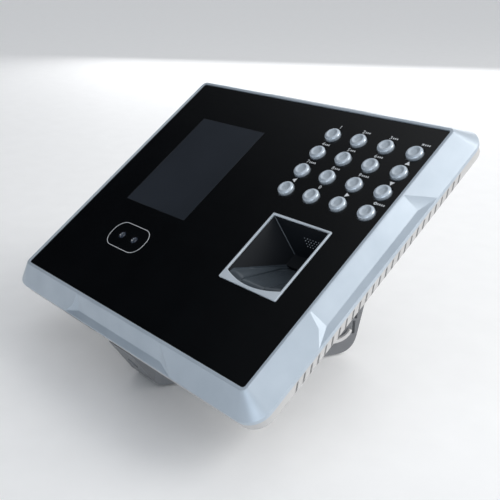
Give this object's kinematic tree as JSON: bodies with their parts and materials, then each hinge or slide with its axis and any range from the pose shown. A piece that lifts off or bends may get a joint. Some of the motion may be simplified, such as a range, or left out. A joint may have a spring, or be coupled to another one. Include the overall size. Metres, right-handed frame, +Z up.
{
  "type": "fingerprint terminal",
  "caption": "Silver-framed fingerprint and keypad terminal with a colour screen, a camera window and a finger scoop, hung on a sloping V-shaped desk stand.",
  "frame": {"origin": "centre of the bounding box at desk level", "axes": "+X to the right across the face, +Y towards the back, +Z up; the face slopes 32.8 degrees from the desk"},
  "size_m": [0.1676, 0.1276, 0.1077],
  "materials": {
    "silver_paint": "silver metallic paint on moulded plastic, fine grain",
    "silver_key": "silver painted key caps",
    "black_gloss": "polished black acrylic",
    "screen_glass": "dark screen window, switched off",
    "lens_glass": "small coated camera lens",
    "platen_glass": "dark optical glass",
    "black_matte": "moulded black plastic",
    "grey_plastic": "light warm grey moulded plastic",
    "stand_grey": "mid grey moulded plastic",
    "light_plastic": "light grey plastic",
    "steel_sheet": "zinc plated steel",
    "circuit_board": "green solder mask",
    "connector_green": "green connector plastic",
    "silicone": "translucent grey silicone",
    "ribbon_white": "flat white cable",
    "black_rubber": "soft black rubber"
  },
  "bodies": {
    "stand": {"stand": "stand_grey", "foot_front": "black_rubber", "foot_left": "black_rubber", "foot_right": "black_rubber", "cable_clip_right": "light_plastic", "cable_clip_left": "light_plastic", "back_plate": "steel_sheet", "plate_screw_1": "steel_sheet", "plate_screw_2": "steel_sheet", "lock_screw": "steel_sheet"},
    "terminal": {"front_bezel": "silver_paint", "front_panel": "black_gloss", "screen_window": "screen_glass", "display_module": "steel_sheet", "camera_window": "black_gloss", "camera_module_visible": "lens_glass", "camera_module_infrared": "lens_glass", "camera_board": "circuit_board", "key_mat": "silicone", "keypad_board": "circuit_board", "sensor_frame": "silver_paint", "sensor_shroud": "black_matte", "sensor_prism": "platen_glass", "sensor_module": "black_matte", "sensor_board": "circuit_board", "main_board": "circuit_board", "processor_shield": "steel_sheet", "ethernet_jack": "black_matte", "power_jack": "black_matte", "terminal_block_lock": "connector_green", "terminal_block_sensor": "connector_green", "usb_port": "steel_sheet", "port_cover": "black_rubber", "speaker": "black_matte", "backup_battery": "steel_sheet", "display_ribbon": "ribbon_white", "keypad_ribbon": "ribbon_white", "side_band": "grey_plastic", "rear_case": "grey_plastic", "case_screw_1": "steel_sheet", "case_screw_2": "steel_sheet", "case_screw_3": "steel_sheet", "case_screw_4": "steel_sheet"},
    "key_1_body": {"key_1": "silver_key"},
    "key_2_body": {"key_2": "silver_key"},
    "key_3_body": {"key_3": "silver_key"},
    "key_escape_body": {"key_escape": "silver_key"},
    "key_4_body": {"key_4": "silver_key"},
    "key_5_body": {"key_5": "silver_key"},
    "key_6_body": {"key_6": "silver_key"},
    "key_up_body": {"key_up": "silver_key"},
    "key_7_body": {"key_7": "silver_key"},
    "key_8_body": {"key_8": "silver_key"},
    "key_9_body": {"key_9": "silver_key"},
    "key_down_body": {"key_down": "silver_key"},
    "key_left_body": {"key_left": "silver_key"},
    "key_0_body": {"key_0": "silver_key"},
    "key_right_body": {"key_right": "silver_key"},
    "key_enter_body": {"key_enter": "silver_key"},
    "reset_button_body": {"reset_button": "black_matte"}
  },
  "joints": [
    {"name": "terminal_slide", "type": "slide", "parent": "stand", "child": "terminal", "axis": [0, 0.8406, 0.5417], "range_m": [0, 0.009]},
    {"name": "key_1_press", "type": "slide", "parent": "terminal", "child": "key_1_body", "axis": [0, 0.5417, -0.8406], "range_m": [0, 0.0008], "stiffness_N_per_m": 500},
    {"name": "key_2_press", "type": "slide", "parent": "terminal", "child": "key_2_body", "axis": [0, 0.5417, -0.8406], "range_m": [0, 0.0008], "stiffness_N_per_m": 500},
    {"name": "key_3_press", "type": "slide", "parent": "terminal", "child": "key_3_body", "axis": [0, 0.5417, -0.8406], "range_m": [0, 0.0008], "stiffness_N_per_m": 500},
    {"name": "key_escape_press", "type": "slide", "parent": "terminal", "child": "key_escape_body", "axis": [0, 0.5417, -0.8406], "range_m": [0, 0.0008], "stiffness_N_per_m": 500},
    {"name": "key_4_press", "type": "slide", "parent": "terminal", "child": "key_4_body", "axis": [0, 0.5417, -0.8406], "range_m": [0, 0.0008], "stiffness_N_per_m": 500},
    {"name": "key_5_press", "type": "slide", "parent": "terminal", "child": "key_5_body", "axis": [0, 0.5417, -0.8406], "range_m": [0, 0.0008], "stiffness_N_per_m": 500},
    {"name": "key_6_press", "type": "slide", "parent": "terminal", "child": "key_6_body", "axis": [0, 0.5417, -0.8406], "range_m": [0, 0.0008], "stiffness_N_per_m": 500},
    {"name": "key_up_press", "type": "slide", "parent": "terminal", "child": "key_up_body", "axis": [0, 0.5417, -0.8406], "range_m": [0, 0.0008], "stiffness_N_per_m": 500},
    {"name": "key_7_press", "type": "slide", "parent": "terminal", "child": "key_7_body", "axis": [0, 0.5417, -0.8406], "range_m": [0, 0.0008], "stiffness_N_per_m": 500},
    {"name": "key_8_press", "type": "slide", "parent": "terminal", "child": "key_8_body", "axis": [0, 0.5417, -0.8406], "range_m": [0, 0.0008], "stiffness_N_per_m": 500},
    {"name": "key_9_press", "type": "slide", "parent": "terminal", "child": "key_9_body", "axis": [0, 0.5417, -0.8406], "range_m": [0, 0.0008], "stiffness_N_per_m": 500},
    {"name": "key_down_press", "type": "slide", "parent": "terminal", "child": "key_down_body", "axis": [0, 0.5417, -0.8406], "range_m": [0, 0.0008], "stiffness_N_per_m": 500},
    {"name": "key_left_press", "type": "slide", "parent": "terminal", "child": "key_left_body", "axis": [0, 0.5417, -0.8406], "range_m": [0, 0.0008], "stiffness_N_per_m": 500},
    {"name": "key_0_press", "type": "slide", "parent": "terminal", "child": "key_0_body", "axis": [0, 0.5417, -0.8406], "range_m": [0, 0.0008], "stiffness_N_per_m": 500},
    {"name": "key_right_press", "type": "slide", "parent": "terminal", "child": "key_right_body", "axis": [0, 0.5417, -0.8406], "range_m": [0, 0.0008], "stiffness_N_per_m": 500},
    {"name": "key_enter_press", "type": "slide", "parent": "terminal", "child": "key_enter_body", "axis": [0, 0.5417, -0.8406], "range_m": [0, 0.0008], "stiffness_N_per_m": 500},
    {"name": "reset_button_press", "type": "slide", "parent": "terminal", "child": "reset_button_body", "axis": [0, -0.5417, 0.8406], "range_m": [0, 0.0005], "stiffness_N_per_m": 800}
  ]
}
